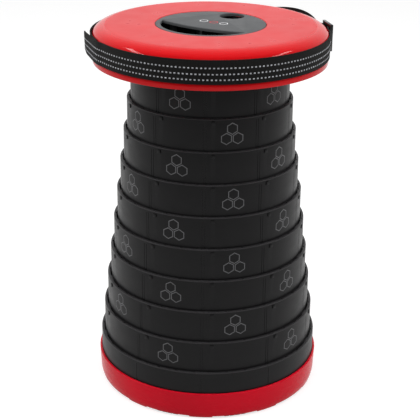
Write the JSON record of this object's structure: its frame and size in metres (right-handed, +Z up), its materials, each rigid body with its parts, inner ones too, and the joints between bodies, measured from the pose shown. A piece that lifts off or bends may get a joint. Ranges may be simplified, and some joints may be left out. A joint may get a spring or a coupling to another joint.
{
  "type": "telescopic stool",
  "caption": "Round telescopic stool: nested sliding rings between a seat disc with a hand slot and a base tray, with a carry strap round the seat.",
  "frame": {"origin": "on the ground under the middle of the base tray", "axes": "+Z up along the rings' common axis, -Y towards the front, +X to the right seen from the front"},
  "size_m": [0.2675, 0.2572, 0.4132],
  "materials": {
    "seat_red": "gloss",
    "base_red": "satin gloss",
    "ring_black": "satin, fine grain",
    "insert_grey": "satin, fine grain",
    "cup_black": "gloss",
    "webbing": "woven webbing with reflective stitch rows",
    "slider_black": "gloss",
    "foot_rubber": "matte",
    "screw_steel": "zinc plated"
  },
  "bodies": {
    "base": {"base_tray": "base_red", "rubber_feet": "foot_rubber", "ring_10": "ring_black"},
    "ring_09_body": {"ring_09": "ring_black"},
    "ring_08_body": {"ring_08": "ring_black"},
    "ring_07_body": {"ring_07": "ring_black"},
    "ring_06_body": {"ring_06": "ring_black"},
    "ring_05_body": {"ring_05": "ring_black"},
    "ring_04_body": {"ring_04": "ring_black"},
    "ring_03_body": {"ring_03": "ring_black"},
    "ring_02_body": {"ring_02": "ring_black"},
    "ring_01_body": {"ring_01": "ring_black"},
    "seat": {"seat_shell": "seat_red", "seat_collar": "ring_black", "seat_insert": "insert_grey", "handle_cup": "cup_black", "insert_screws": "screw_steel", "collar_screws": "screw_steel", "strap_front": "webbing", "strap_back": "webbing", "strap_slider": "slider_black"}
  },
  "joints": [
    {"name": "ring_09_slide", "type": "slide", "parent": "base", "child": "ring_09_body", "axis": [0, 0, 1], "range_m": [-0.03475, 0]},
    {"name": "ring_08_slide", "type": "slide", "parent": "ring_09_body", "child": "ring_08_body", "axis": [0, 0, 1], "range_m": [-0.03475, 0]},
    {"name": "ring_07_slide", "type": "slide", "parent": "ring_08_body", "child": "ring_07_body", "axis": [0, 0, 1], "range_m": [-0.03475, 0]},
    {"name": "ring_06_slide", "type": "slide", "parent": "ring_07_body", "child": "ring_06_body", "axis": [0, 0, 1], "range_m": [-0.03475, 0]},
    {"name": "ring_05_slide", "type": "slide", "parent": "ring_06_body", "child": "ring_05_body", "axis": [0, 0, 1], "range_m": [-0.03475, 0]},
    {"name": "ring_04_slide", "type": "slide", "parent": "ring_05_body", "child": "ring_04_body", "axis": [0, 0, 1], "range_m": [-0.03475, 0]},
    {"name": "ring_03_slide", "type": "slide", "parent": "ring_04_body", "child": "ring_03_body", "axis": [0, 0, 1], "range_m": [-0.03475, 0]},
    {"name": "ring_02_slide", "type": "slide", "parent": "ring_03_body", "child": "ring_02_body", "axis": [0, 0, 1], "range_m": [-0.03475, 0]},
    {"name": "ring_01_slide", "type": "slide", "parent": "ring_02_body", "child": "ring_01_body", "axis": [0, 0, 1], "range_m": [-0.03475, 0]},
    {"name": "seat_slide", "type": "slide", "parent": "ring_01_body", "child": "seat", "axis": [0, 0, 1], "range_m": [-0.03025, 0]}
  ]
}
